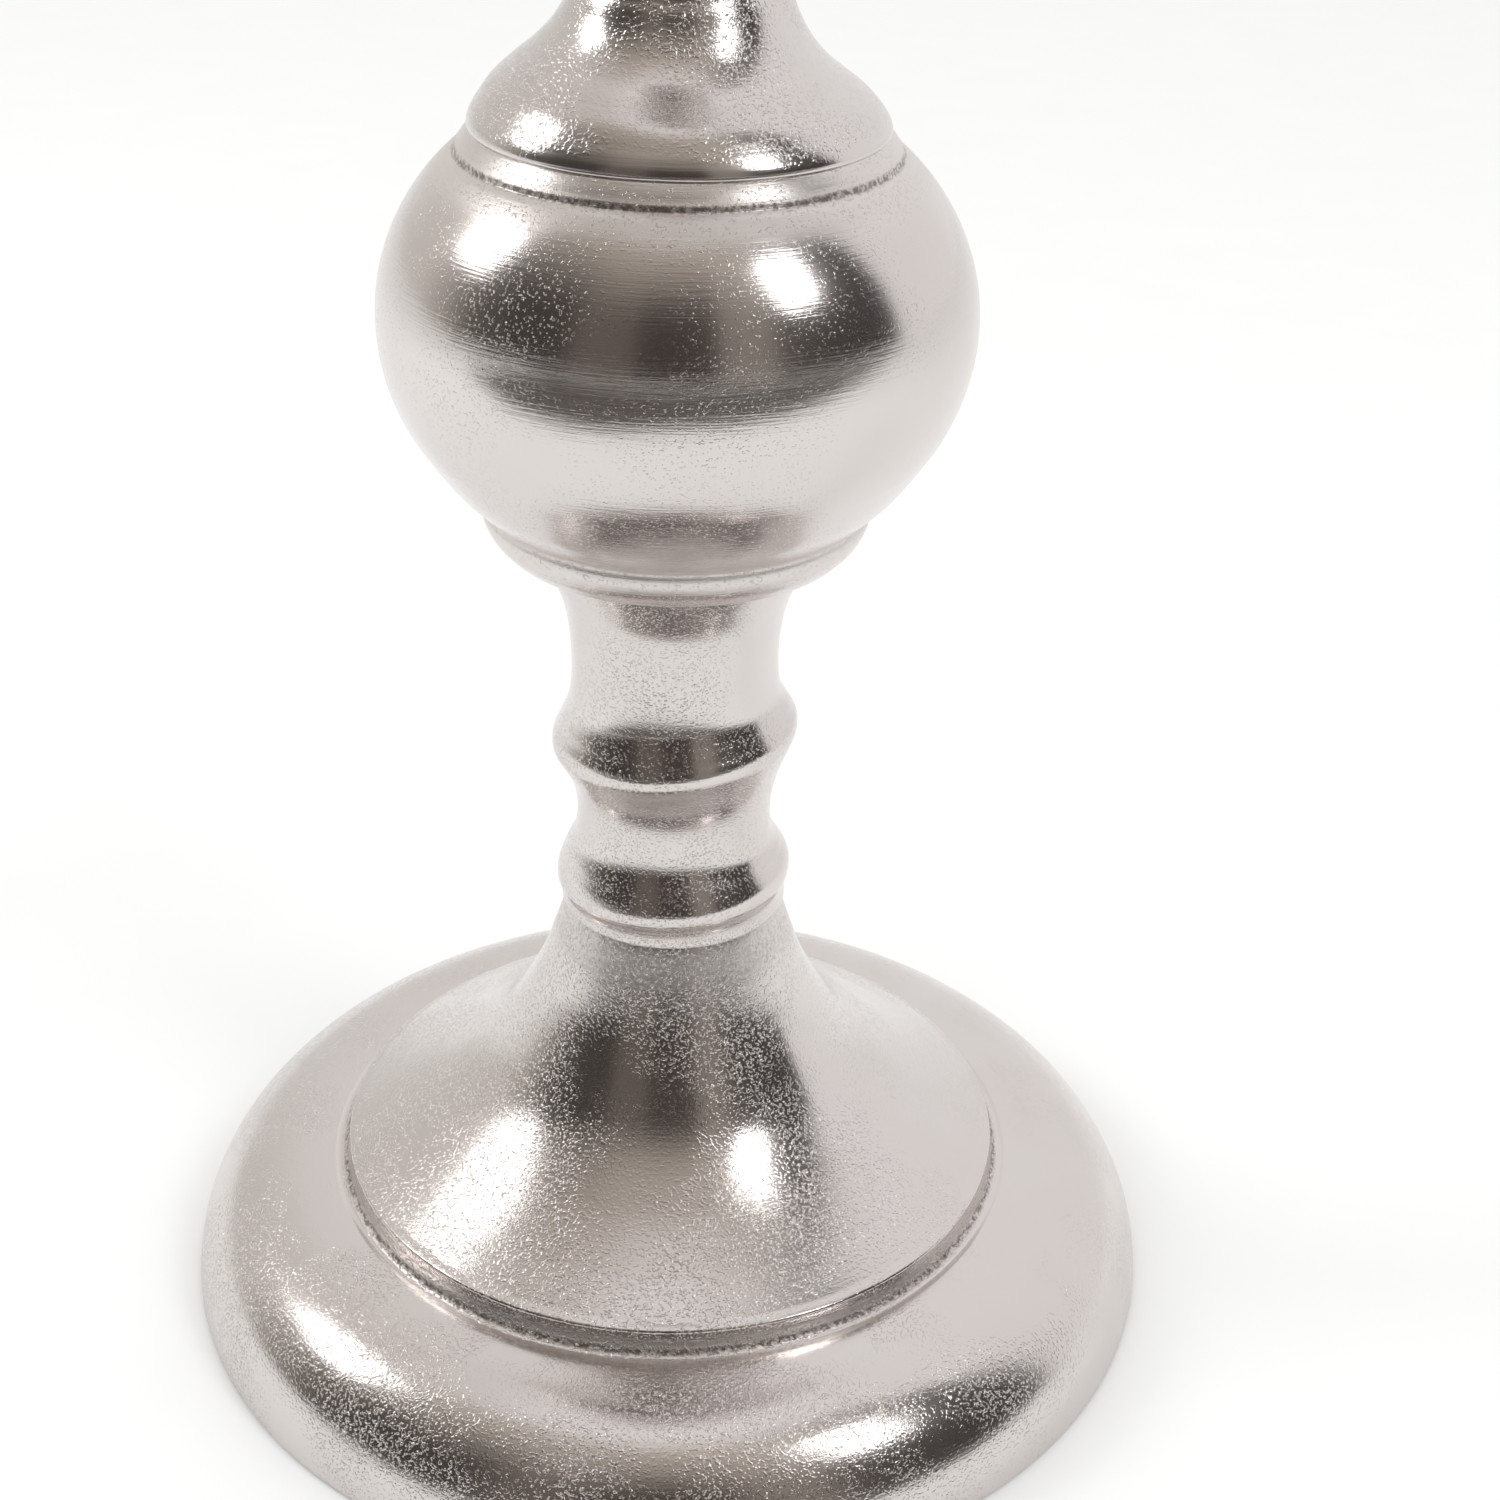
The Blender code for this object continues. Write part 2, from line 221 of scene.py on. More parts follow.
def stretched(tree: Tree, vector: Input, *factors: float) -> Input:
    """The vector with each coordinate times its own factor."""
    given = {0: vector, 1: factors}
    return add_node(tree, "ShaderNodeVectorMath", given, operation="MULTIPLY").outputs[0]


def noise_of(
    tree: Tree, vector: Input, scale: float, detail: float, roughness: float = 0.5
) -> Input:
    """The value of a noise texture."""
    given = {"Vector": vector, "Scale": scale, "Detail": detail, "Roughness": roughness}
    return add_node(tree, "ShaderNodeTexNoise", given).outputs["Fac"]


def mixed(tree: Tree, share: Input, first: Input, second: Input) -> Input:
    """A colour between two, by the share of the second."""
    given = {0: share, 6: first, 7: second}
    return add_node(tree, "ShaderNodeMix", given, data_type="RGBA").outputs[2]


def spread(
    tree: Tree,
    value: Input,
    low: float,
    high: float,
    to_low: float,
    to_high: float,
    soft: bool = False,
) -> Input:
    """Maps one range of values to another.

    Args:
        tree: The node tree.
        value: The value to map.
        low: Where the range starts.
        high: Where the range ends.
        to_low: The result at low.
        to_high: The result at high.
        soft: Whether the ends are eased.

    Returns:
        The mapped value, kept between the two results.
    """
    kind = "SMOOTHSTEP" if soft else "LINEAR"
    given = {0: value, 1: low, 2: high, 3: to_low, 4: to_high}
    return add_node(tree, "ShaderNodeMapRange", given, interpolation_type=kind).outputs[0]


def risen(tree: Tree, angle: Input, start: float, end: float, high: float, soft: bool) -> Input:
    """Rises from 0 to high as an angle goes from start to end, which are in degrees."""
    return spread(tree, angle, math.radians(start), math.radians(end), 0.0, high, soft)


def bumped(tree: Tree, height: Input, relief_mm: float) -> Input:
    """The normal of a surface whose relief is this deep."""
    given = {"Strength": 1.0, "Distance": relief_mm * MM, "Height": height}
    return add_node(tree, "ShaderNodeBump", given).outputs[0]


def new_material(name: str) -> tuple[bpy.types.Material, Tree, bpy.types.Node]:
    """Makes a material with one Principled BSDF.

    Args:
        name: The material's name.

    Returns:
        The material, its node tree and its shader.
    """
    material = bpy.data.materials.new(name)
    material.use_nodes = True
    tree = material.node_tree
    return material, tree, tree.nodes["Principled BSDF"]


# ---- finishes


@dataclass(frozen=True)
class Finish:
    """How a stock looks. Its material is made once and shared by the pieces that wear it."""

    name: str

    def material(self) -> bpy.types.Material:
        """The finish's material, made at its first use."""
        made = bpy.data.materials.get(self.name)
        if made is None:
            made, tree, shader = new_material(self.name)
            place = add_node(tree, "ShaderNodeTexCoord").outputs["Object"]
            feed(shader, self.look(tree, place))
        return made

    def look(self, tree: Tree, place: Input) -> dict[str, Input]:
        """What the finish gives its shader.

        Args:
            tree: The material's node tree.
            place: The place on the piece, in metres.

        Returns:
            Outputs and constants by the name of the shader input that takes them.
        """
        raise NotImplementedError


@dataclass(frozen=True)
class BuffedSandCast(Finish):
    """Sand-cast aluminium alloy, buffed by hand with a wheel and flashed with nickel.

    The buffing leaves a bright, faintly pink metal whose skin still shows the sand: worm-like
    grains that glitter where they turn towards the lamps, streaks round the piece from the wheel,
    and a duller skin in the hollows that the wheel doesn't reach, with painted shade, a speckled
    dark brown, where they are narrow.
    """

    grain: float
    streaks: float
    sparse: float = 0.0
    metal: str = "DAD5D4"
    shade: str = "D4CDC9"
    dull_skin: str = "DED8D5"
    # Painted shade: the dark brown that darkens narrow creases.
    painted_shade_colour: str = "5A4A42"
    roughness: float = 0.18
    skin_roughness: float = 0.50
    noise_roughness: float = 0.55
    grain_mm: float = 0.52
    fine_mm: float = 0.27
    fine_share: float = 0.30
    patch_mm: float = 21.0
    least_patch: float = 0.18
    cloud_mm: float = 38.0
    speck_mm: float = 0.9
    streak_length_mm: float = 11.0
    streak_width_mm: float = 0.34
    relief_mm: float = 0.06
    held_longer_mm: float = 70.0
    left_where_held: float = 0.25
    left_elsewhere: float = 1.25
    left_where_missed: float = 1.6
    # The stretch of its noise over which each of them comes up.
    grain_span: Point = (0.49, 0.65)
    patch_span: Point = (0.38, 0.62)
    speck_span: Point = (0.40, 0.58)

    def look(self, tree: Tree, place: Input) -> dict[str, Input]:
        """Two close metal tones, the hollows' duller skin, painted shade in the creases, and the
        relief.
        """
        in_mm = stretched(tree, place, 1 / MM, 1 / MM, 1 / MM)
        skin, painted_shade = (
            add_node(tree, "ShaderNodeAttribute", attribute_name=name).outputs["Fac"]
            for name in (SKIN, PAINTED_SHADE)
        )
        cloud = self._noise(tree, in_mm, self.cloud_mm, 3.0)
        metal = mixed(tree, cloud, colour(self.metal), colour(self.shade))
        metal = mixed(tree, skin, metal, colour(self.dull_skin))
        specks = self._noise(tree, in_mm, self.speck_mm, 2.0)
        specks = spread(tree, specks, *self.speck_span, 0.0, 1.0)
        # Painted shade: a speckled dark brown laid over the creases, standing in for their shade.
        painted_shade_mask = calculated(tree, "MULTIPLY", painted_shade, specks, clamp=True)
        relief = self._relief(tree, in_mm, self._grain_left(tree, in_mm, skin))
        return {
            "Base Color": mixed(tree, painted_shade_mask, metal, colour(self.painted_shade_colour)),
            "Roughness": spread(tree, skin, 0.0, 1.0, self.roughness, self.skin_roughness),
            "Normal": bumped(tree, relief, self.relief_mm),
            "Metallic": 1.0,
        }

    def _noise(self, tree: Tree, in_mm: Input, size_mm: float, detail: float) -> Input:
        """A noise whose lumps are about this size."""
        return noise_of(tree, in_mm, 1 / size_mm, detail, self.noise_roughness)

    def _grain_left(self, tree: Tree, in_mm: Input, skin: Input) -> Input:
        """How much of the sand's grain is left: less towards +X, where the wheel was held longer.

        Args:
            tree: The finish's node tree.
            in_mm: The place on the piece in millimetres.
            skin: How far the wheel missed the place.

        Returns:
            The share of the grain left.
        """
        patches = self._noise(tree, in_mm, self.patch_mm, 2.0)
        least = self.least_patch * self.grain
        patches = spread(tree, patches, *self.patch_span, least, self.grain)
        across = add_node(tree, "ShaderNodeSeparateXYZ", {0: in_mm}).outputs[0]
        held = self.held_longer_mm
        side = spread(tree, across, -held, held, self.left_elsewhere, self.left_where_held)
        left = calculated(tree, "MULTIPLY", patches, side)
        missed = calculated(tree, "MULTIPLY", skin, self.left_where_missed)
        return calculated(tree, "MAXIMUM", calculated(tree, "ADD", left, missed), 0.0)

    def _relief(self, tree: Tree, in_mm: Input, left: Input) -> Input:
        """The skin's height: grains with flat tops, a finer grit, and the wheel's streaks.

        Args:
            tree: The finish's node tree.
            in_mm: The place on the piece in millimetres.
            left: The share of the grain left.

        Returns:
            The height.
        """
        sand = self._noise(tree, in_mm, self.grain_mm, 1.0)
        low, high = self.grain_span[0] + self.sparse, self.grain_span[1] + self.sparse / 2
        worms = spread(tree, sand, low, high, 0.0, 1.0, soft=True)
        fine = self._noise(tree, in_mm, self.fine_mm, 1.0)
        sand = calculated(tree, "MULTIPLY_ADD", fine, self.fine_share, worms)
        sand = calculated(tree, "MULTIPLY", sand, left)
        along, width = 1 / self.streak_length_mm, 1 / self.streak_width_mm
        lines = self._noise(tree, stretched(tree, in_mm, along, along, width), 1.0, 2.0)
        return calculated(tree, "MULTIPLY_ADD", lines, self.streaks, sand)


@dataclass(frozen=True)
class Steel(Finish):
    """Steel, turned or pressed, then plated: an even satin metal with fine rings of the tool."""

    metal: str
    roughness: float
    ring_mm: float = 0.35
    ring_drift_mm: float = 40.0
    cloud_mm: float = 6.0
    relief_mm: float = 0.006
    glossier: float = 0.05
    duller: float = 0.08

    def look(self, tree: Tree, place: Input) -> dict[str, Input]:
        """One tone whose gloss drifts a little, and the tool's rings."""
        along, across = 1 / (self.ring_drift_mm * MM), 1 / (self.ring_mm * MM)
        rings = noise_of(tree, stretched(tree, place, along, along, across), 1.0, 2.0)
        cloud = noise_of(tree, place, 1 / (self.cloud_mm * MM), 3.0)
        glossiest, dullest = self.roughness - self.glossier, self.roughness + self.duller
        return {
            "Base Color": colour(self.metal),
            "Roughness": spread(tree, cloud, 0.0, 1.0, glossiest, dullest),
            "Normal": bumped(tree, rings, self.relief_mm),
            "Metallic": 1.0,
        }


@dataclass(frozen=True)
class Matt(Finish):
    """A matt stock that isn't bare metal: paint, fibreboard or felt, told apart by its grain."""

    light: str
    dark: str
    roughness: float
    grain_mm: float
    relief_mm: float
    sheen: float = 0.0

    def look(self, tree: Tree, place: Input) -> dict[str, Input]:
        """Two tones and a relief that follow one grain."""
        grain = noise_of(tree, place, 1 / (self.grain_mm * MM), 4.0, 0.65)
        return {
            "Base Color": mixed(tree, grain, colour(self.dark), colour(self.light)),
            "Roughness": self.roughness,
            "Normal": bumped(tree, grain, self.relief_mm),
            "Sheen Weight": self.sheen,
        }


# The foot, the stem and the pieces above it are the least buffed, so their grain stands highest.
ROUGH_CASTING = BuffedSandCast(
    "sand_cast_aluminium",
    grain=1.0,
    streaks=0.20,
    sparse=0.02,
    grain_mm=0.64,
    relief_mm=0.088,
    left_where_held=0.60,
)
# The ball was held longer to the wheel: sparser grain, and streaks round it.
BUFFED_CASTING = BuffedSandCast(
    "buffed_sand_cast_aluminium", grain=0.9, streaks=0.50, sparse=0.115
)
# The neck was only touched by the wheel: a finer, lower grain than the foot's.
TOUCHED_CASTING = BuffedSandCast(
    "lightly_buffed_sand_cast_aluminium", grain=1.1, streaks=0.22, sparse=0.05
)
# Satin nickel on turned steel: a clean, faintly yellow grey.
SPIKE_PLATE = Steel("nickel_plated_steel", "D2CEC6", 0.24)
# Zinc on pressed and rolled steel: a cooler, duller grey.
ZINC_PLATE = Steel("zinc_plated_steel", "B9BCBE", 0.38, ring_mm=0.8)
# Black stoving paint over a rough iron casting: the sand's grain shows through it.
IRON_PAINT = Matt("painted_cast_iron", "34332F", "1C1B19", 0.55, 1.4, 0.12)
# Pressed wood fibre, sawn to a disc: short brown fibres.
FIBRE = Matt("pressed_fibreboard", "9C7A54", "6E5136", 0.8, 0.9, 0.05)
# Pressed wool: a dense nap that catches light at its edges.
FELT = Matt("green_wool_felt", "2E5A3C", "1B3A27", 0.95, 0.7, 0.18, sheen=0.4)

# ---- turned pieces


@dataclass
class Hollow:
    """A place that the wheel doesn't reach, where the casting keeps its skin.

    Below 0, its amount makes it an edge that the wheel rubs bright. It can also carry painted
    shade:
    a dark brown in its crease, standing in for the shade that falls there.
    """

    radius: float
    height: float
    reach: float
    amount: float
    # How much painted shade darkens the crease here, and how far it spreads.
    painted_shade: float = 0.0
    painted_shade_reach: float = 0.7

    def at(self, radius: float, height: float) -> float:
        """How rough the skin is at a point.

        Args:
            radius: The point's radius.
            height: The point's height.

        Returns:
            The roughness added there, from 0 to the hollow's amount.
        """
        away = math.hypot(radius - self.radius, height - self.height) / self.reach
        return self.amount * math.exp(-away * away)

    def painted_shade_at(self, radius: float, height: float) -> float:
        """How much painted shade darkens the crease at a point."""
        away = math.hypot(radius - self.radius, height - self.height) / self.painted_shade_reach
        return self.painted_shade * math.exp(-(away**4))


@dataclass
class Waviness:
    """The slow unevenness of a hand-rammed mould and of buffing by hand."""

    depth: float
    length: float
    seed: float

    def at(self, place: Vector) -> float:
        """How far the surface stands out at a place, in millimetres."""
        seeded = place / (self.length * MM) + Vector((self.seed, 0.0, 0.0))
        return self.depth * noise.noise(seeded)


@dataclass
class TurnedPiece:
    """A solid of revolution, meshed finely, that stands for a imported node."""

    name: str
    node: str
    finish: Finish
    outline: Outline
    body: str = "stand"
    slot: str = "cast_aluminium"
    hollows: Sequence[Hollow] = ()
    waviness: Waviness | None = None
    lean: Callable[[float], float] | None = None
    segments: int = SEGMENTS
    edge: Edge = Edge.SOFT

    def _rings(self) -> list[list[Vector]]:
        """Sweeps the outline round the axis.

        Returns:
            One list of points for each outline point; a point on the axis is a list of one.
        """
        rings = []
        for radius, height in self.outline:
            count = 1 if radius == 0.0 else self.segments
            slope = math.tan(math.radians(self.lean(height))) if self.lean else 0.0
            ring = []
            for i in range(count):
                turn = math.tau * i / self.segments
                place = Vector((radius * math.cos(turn), radius * math.sin(turn), height)) * MM
                out = self.waviness.at(place) if self.waviness and count > 1 else 0.0
                grown = 1 + out / radius if radius else 1.0
                ring.append(Vector((place.x * grown, place.y * grown, place.z + slope * place.x)))
            rings.append(ring)
        return rings

    def build(self) -> None:
        """Makes the mesh, dresses it and places it on its body."""
        rings = self._rings()
        starts, points = [], []
        for ring in rings:
            starts.append(len(points))
            points += ring
        last = len(rings) - 1
        pairs = [(i, i + 1) for i in range(last)]
        if len(rings[0]) > 1:
            pairs.append((last, 0))
        faces = [face for a, b in pairs for face in self._band(rings, starts, a, b)]
        mesh = bpy.data.meshes.new(self.name)
        mesh.from_pydata(points, [], faces)
        self._paint(mesh, rings, SKIN, Hollow.at)
        # Stores the painted shade in the creases.
        self._paint(mesh, rings, PAINTED_SHADE, Hollow.painted_shade_at)
        mesh.shade_smooth()
        mesh.set_sharp_from_angle(angle=math.radians(self.edge.value))
        mesh.materials.append(self.finish.material())
        piece = linked(self.name, mesh)
        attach(piece, self.body)
        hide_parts(self.node)
        log.info("%s: %d faces, replaces %s", self.name, len(faces), self.node)

    def _band(
        self, rings: list[list[Vector]], starts: list[int], a: int, b: int
    ) -> Iterable[tuple[int, ...]]:
        """Yields the faces between two neighbouring rings.

        Args:
            rings: All the rings.
            starts: The number of each ring's first point.
            a: The upper ring.
            b: The ring after it.
        """
        for i in range(self.segments):
            j = (i + 1) % self.segments
            if len(rings[a]) == 1:
                yield (starts[a], starts[b] + i, starts[b] + j)
            elif len(rings[b]) == 1:
                yield (starts[a] + i, starts[b], starts[a] + j)
            else:
                yield (starts[a] + i, starts[b] + i, starts[b] + j, starts[a] + j)

    def _paint(
        self,
        mesh: bpy.types.Mesh,
        rings: list[list[Vector]],
        name: str,
        at: Callable[[Hollow, float, float], float],
    ) -> None:
        """Stores what the hollows give each point.

        Args:
            mesh: The piece's mesh.
            rings: The rings that its points come from.
            name: The attribute's name.
            at: What one hollow gives at a radius and a height.
        """
        values = []
        for (radius, height), ring in zip(self.outline, rings):
            total = sum(at(hollow, radius, height) for hollow in self.hollows)
            values += [max(-1.0, min(1.0, total))] * len(ring)
        layer = mesh.attributes.new(name, "FLOAT", "POINT")
        layer.data.foreach_set("value", values)


# ---- sub-assemblies


@dataclass
class Foot:
    """The foot casting, with its bell-shaped cone, lip, groove and rim, and the felt under it."""

    rim_radius: float = 100.0
    rim_round: float = 25.0
    groove_radius: float = 69.1
    groove_height: float = 25.2
    lip_radius: float = 67.4
    lip_height: float = 29.8
    rebate_radius: float = 95.0
    rebate_height: float = 7.9
    ledge_height: float = 18.6
    rod_hole: float = 5.5
    socket_radius: float = 12.3
    socket_depth: float = 5.7
    felt_round: float = 0.5

    def cone(self, top: float) -> Outline:
        """The bell-shaped side, from the seam down to the lip."""
        return smooth(
            [
                (20.8, top),
                (21.4, top - 0.8),
                (23.6, 78.2),
                (26.9, 69.0),
                (31.6, 60.0),
                (37.7, 51.0),
                (46.6, 43.0),
                (56.5, 36.2),
                (self.lip_radius - 1.4, self.lip_height + 0.9),
            ]
        )

    def rim(self, low: float) -> Outline:
        """The lip's rounded edge, the groove below it and the quarter-round rim."""
        lip_round, lip_radius, floor = 0.8, self.lip_radius, self.groove_height
        centre = (lip_radius - lip_round, self.lip_height - 0.1)
        lip = arc(centre, lip_round, 60.0, -8.0, 5)
        step = smooth(
            [
                (lip_radius + 0.1, self.lip_height - 1.4),
                (lip_radius + 0.5, floor + 1.1),
                (self.groove_radius, floor),
                (self.groove_radius + 1.6, floor + 0.05),
            ],
            steps=6,
        )
        rim_centre = (self.rim_radius - self.rim_round, 0.0)
        foot_turn = math.degrees(math.asin(low / self.rim_round))
        return lip + step + arc(rim_centre, self.rim_round, 87.0, foot_turn, 40)

    def core(self, low: float, top: float) -> Outline:
        """The underside, the cored hollow and the neck's socket."""
        inner = self.rim_round - 6.0
        rim_centre = (self.rim_radius - self.rim_round, 0.0)
        inner_turn = math.degrees(math.asin(self.rebate_height / inner))
        roof_turn = math.degrees(math.asin(self.ledge_height / inner))
        seat = top - self.socket_depth
        underside = [(self.rebate_radius, low), (self.rebate_radius, self.rebate_height)]
        roof = arc(rim_centre, inner, inner_turn, roof_turn, 8)
        hollow = smooth(
            [(60.0, 22.0), (50.0, 34.0), (36.0, 46.0), (26.0, 60.0), (18.0, 74.0)], steps=3
        )
        hub = [(self.rod_hole, 74.0), (self.rod_hole, seat)]
        socket = [(self.socket_radius, seat), (self.socket_radius, top)]
        return underside + roof + [(60.0, self.ledge_height)] + hollow + hub + socket

    def build(self) -> None:
        """Builds the casting and the felt."""
        low, top = low_of("base_casting"), top_of("base_casting")
        corner = self.groove_radius - 1.1
        TurnedPiece(
            "foot",
            "base_casting",
            ROUGH_CASTING,
            self.cone(top) + self.rim(low) + self.core(low, top),
            hollows=[
                # Painted shade: the groove's inner corner is darkened with speckled brown.
                Hollow(corner, self.groove_height + 0.5, 1.3, 0.8, painted_shade=0.75, painted_shade_reach=0.75),
                Hollow(self.groove_radius + 0.9, self.groove_height, 0.7, -0.6),
                Hollow(self.lip_radius + 0.2, self.lip_height - 2.0, 1.2, 0.3),
                # Painted shade: a faint brown darkening on the cone's top, under the neck.
                Hollow(22.5, top - 4.0, 7.0, 0.45, painted_shade=0.16, painted_shade_reach=6.0),
            ],
            waviness=Waviness(depth=0.10, length=24.0, seed=3.0),
        ).build()
        felt_low, felt_top = low_of("felt_pad"), top_of("felt_pad")
        turned = self.felt_round
        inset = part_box("felt_pad")[1].x / MM - turned
        edge = arc((inset, felt_top - turned), turned, 90.0, 0.0, 4)
        edge += arc((inset, felt_low + turned), turned, 0.0, -90.0, 4)
        TurnedPiece(
            "felt",
            "felt_pad",
            FELT,
            [(0.0, felt_top)] + edge + [(0.0, felt_low)],
            slot="felt",
            segments=FELT_SEGMENTS,
        ).build()


@dataclass
class Seats:
    """The ends that join a casting to the next: a spigot below, a socket above, a rod hole."""

    spigot_radius: float = 12.0
    spigot_length: float = 5.1
    socket_radius: float = 12.3
    rod_hole: float = 5.5

    def close(self, outer: Outline, core: Outline) -> Outline:
        """Closes an outer side with its seats and core.

        Args:
            outer: The outer side, from the top face down to the bottom face.
            core: The hollow's side, from its floor up to its top.

        Returns:
            The whole closed outline.
        """
        bottom, top = outer[-1][1], outer[0][1]
        foot = bottom - self.spigot_length
        below = [(self.spigot_radius, bottom), (self.spigot_radius, foot), (self.rod_hole, foot)]
        socket = [(self.socket_radius, core[-1][1]), (self.socket_radius, top)]
        return outer + below + [(self.rod_hole, core[0][1])] + core + socket


@dataclass
class LowerNeck:
    """The short neck with two soft beads, slightly out of square as hand-filed beads are."""

    upper_bead: float = 37.4
    lower_bead: float = 7.0
    upper_bead_lean: float = 5.2
    lower_bead_lean: float = 3.2
    upper_bead_reach: float = 9.0
    lower_bead_reach: float = 4.5
    flare_radius: float = 25.6

    def lean(self, height: float) -> float:
        """How far a level of the neck leans up towards +X, in degrees."""
        above = height - top_of("base_casting")
        upper = math.exp(-(((above - self.upper_bead) / self.upper_bead_reach) ** 2))
        lower = math.exp(-(((above - self.lower_bead) / self.lower_bead_reach) ** 2))
        return self.upper_bead_lean * upper + self.lower_bead_lean * lower

    def build(self) -> None:
        """Builds the casting."""
        top, seam = top_of("neck_casting"), top_of("base_casting")
        upper, lower = seam + self.upper_bead, seam + self.lower_bead
        outer = smooth(
            [
                (self.flare_radius, top),
                (23.3, top - 4.7),
                (20.8, top - 11.5),
                (19.7, top - 21.0),
                (20.1, seam + 46.0),
                (22.1, upper + 3.6),
                (23.3, upper + 1.2),
                (23.6, upper - 0.4),
                (23.4, upper - 1.8),
                (22.7, upper - 3.4),
                (20.1, seam + 27.9),
                (18.9, seam + 21.6),
                (19.3, seam + 15.4),
                (21.2, lower + 4.4),
                (22.5, lower + 1.8),
                (23.0, lower + 0.2),
                (23.0, lower - 1.6),
                (22.45, lower - 3.2),
                (22.25, seam + 2.6),
                (22.2, seam + 1.4),
                (22.2, seam + 0.3),
                (21.9, seam),
            ]
        )
        core = [(9.0, seam + 5.0), (14.0, seam + 11.0), (14.0, top - 10.0), (12.3, top - 6.0)]
        TurnedPiece(
            "neck",
            "neck_casting",
            TOUCHED_CASTING,
            Seats().close(outer, core),
            hollows=[Hollow(21.6, seam, 2.5, 0.3)],
            waviness=Waviness(depth=0.16, length=15.0, seed=11.0),
            lean=self.lean,
        ).build()


@dataclass
class Knop:
    """The flattened ball, the sloping fillet above it, and the flange that overhangs the neck."""

    radius: float = 53.0
    profile_radius: float = 38.0
    equator: float = 44.2
    fillet_top: float = 35.6
    fillet_bottom: float = 38.2
    flange_radius: float = 35.7
    flange_edge: float = 32.2
    wall: float = 5.0

    def fillet(self, top: float) -> Outline:
        """The fillet, from under the collar down to the small step above the ball's shoulder."""
        start, bottom = self.fillet_top, self.fillet_bottom
        slope = smooth(
            [
                (start - 1.2, top + 1.6),
                (start, top + 1.4),
                (start + 1.2, top + 0.1),
                (bottom - 0.4, top - 1.3),
                (bottom, top - 1.8),
            ],
            steps=5,
        )
        step = smooth(
            [
                (bottom + 0.12, top - 2.1),
                (bottom + 0.36, top - 2.8),
                (bottom + 0.6, top - 3.0),
                (bottom + 0.9, top - 3.15),
            ],
            steps=5,
        )
        return slope + step

    def flange(self, seam: float) -> Outline:
        """The crease under the ball, the flange's round side and its underside."""
        widest, edge = self.flange_radius, self.flange_edge
        side = smooth(
            [
                (widest, seam + 9.9),
                (widest - 0.1, seam + 9.4),
                (widest, seam + 8.5),
                (widest - 0.3, seam + 6.9),
                (widest - 1.4, seam + 4.6),
                (edge + 0.5, seam + 2.8),
                (edge, seam + 2.3),
                (edge - 0.8, seam + 1.9),
            ],
            steps=6,
        )
        return side + [(26.2, seam + 0.3), (25.2, seam)]

    def build(self) -> None:
        """Builds the casting."""
        top, seam = top_of("knop_casting"), top_of("neck_casting")
        centre = (self.radius - self.profile_radius, seam + self.equator)
        ball = arc(centre, self.profile_radius, 49.5, -32.0, 66)
        taper = smooth(
            [
                ball[-1],
                (44.0, seam + 19.3),
                (41.2, seam + 15.6),
                (38.6, seam + 12.9),
                (36.7, seam + 11.0),
                (36.0, seam + 10.3),
            ],
            steps=6,
        )[1:]
        outer = self.fillet(top) + ball + taper + self.flange(seam)
        inside = self.profile_radius - self.wall
        core = [(12.0, seam + 5.5)] + arc(centre, inside, -58.0, 50.0, 24)
        step, crease = self.fillet_bottom + 0.2, self.flange_radius - 0.2
        TurnedPiece(
            "knop",
            "knop_casting",
            BUFFED_CASTING,
            Seats(socket_radius=20.3).close(outer, core),
            hollows=[
                Hollow(self.fillet_top + 1.0, top - 0.4, 2.0, 0.4),
                # Painted shade: the step above the ball's shoulder is darkened with speckled
                # brown.
                Hollow(step, top - 2.4, 1.2, 0.45, painted_shade=0.7, painted_shade_reach=0.7),
                Hollow(41.0, top - 4.4, 3.4, 0.6),
                # Painted shade: a faint brown in the crease above the flange.
                Hollow(crease, seam + 9.7, 1.6, 0.9, painted_shade=0.15, painted_shade_reach=0.35),
                Hollow(self.flange_radius, seam + 7.0, 3.5, 0.35),
            ],
            waviness=Waviness(depth=0.14, length=21.0, seed=7.0),
        ).build()


@dataclass
class Stem:
    """The ogee collar, hollower on one side, and the slim shaft that rises from it."""

    nose_radius: float = 36.2
    bore: float = 10.0
    hollow_lean: float = -2.4
    hollow_height: float = 14.0
    hollow_reach: float = 8.0

    def lean(self, height: float) -> float:
        """How far a level of the collar leans up towards +X, in degrees."""
        away = (height - top_of("knop_casting") - self.hollow_height) / self.hollow_reach
        return self.hollow_lean * math.exp(-away * away)

    def build(self) -> None:
        """Builds the casting."""
        top, seam, nose = top_of("stem_casting"), top_of("knop_casting"), self.nose_radius
        shaft = smooth(
            [
                (16.0, top),
                (16.6, top - 0.5),
                (15.2, top - 20.0),
                (14.3, top - 90.0),
                (15.0, top - 145.0),
                (16.7, seam + 30.0),
                (18.8, seam + 23.0),
                (21.4, seam + 18.0),
                (24.9, seam + 14.0),
                (28.6, seam + 11.0),
                (32.2, seam + 8.0),
                (34.5, seam + 5.2),
                (35.5, seam + 3.7),
                (nose - 0.2, seam + 2.7),
                (nose, seam + 1.9),
                (nose - 0.1, seam + 1.4),
                (nose - 0.6, seam + 1.1),
                (nose - 1.8, seam + 1.0),
                (nose - 1.9, seam),
            ]
        )
        core = [
            (self.bore, seam + 5.0),
            (26.0, seam + 5.0),
            (20.0, seam + 13.0),
            (12.5, seam + 24.0),
            (self.bore, seam + 37.0),
            (self.bore, top - 10.0),
        ]
        TurnedPiece(
            "stem",
            "stem_casting",
            ROUGH_CASTING,
            Seats(spigot_radius=20.0, socket_radius=self.bore).close(shaft, core),
            hollows=[Hollow(nose, seam + 2.0, 2.4, -0.5)],
            waviness=Waviness(depth=0.12, length=22.0, seed=19.0),
            lean=self.lean,
        ).build()


